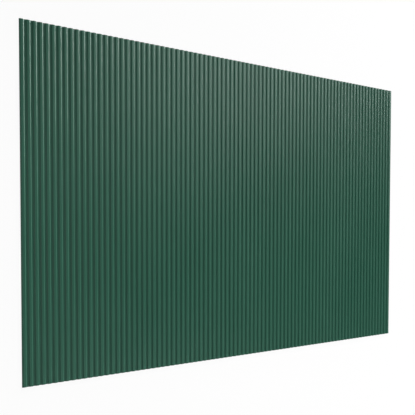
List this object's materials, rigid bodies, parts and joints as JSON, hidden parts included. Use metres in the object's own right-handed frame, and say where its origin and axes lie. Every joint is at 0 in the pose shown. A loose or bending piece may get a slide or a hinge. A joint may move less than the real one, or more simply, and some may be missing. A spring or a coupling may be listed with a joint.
{
  "type": "trapezoidal metal sheet",
  "caption": "Flat rectangular sheet of thin coated steel, roll-formed into fine straight trapezoidal ribs, for cladding a wall, fence or roof.",
  "frame": {"origin": "under the middle of the sheet, on the plane that the undersides of its valleys rest on", "axes": "+X across the ribs, +Y along them, +Z out of the coated face, up from the floor that the sheet lies on"},
  "size_m": [3.0014, 2, 0.0047],
  "materials": {
    "green_coating": "satin coil coating"
  },
  "bodies": {
    "root": {"trapezoidal_sheet": "green_coating"}
  },
  "joints": []
}
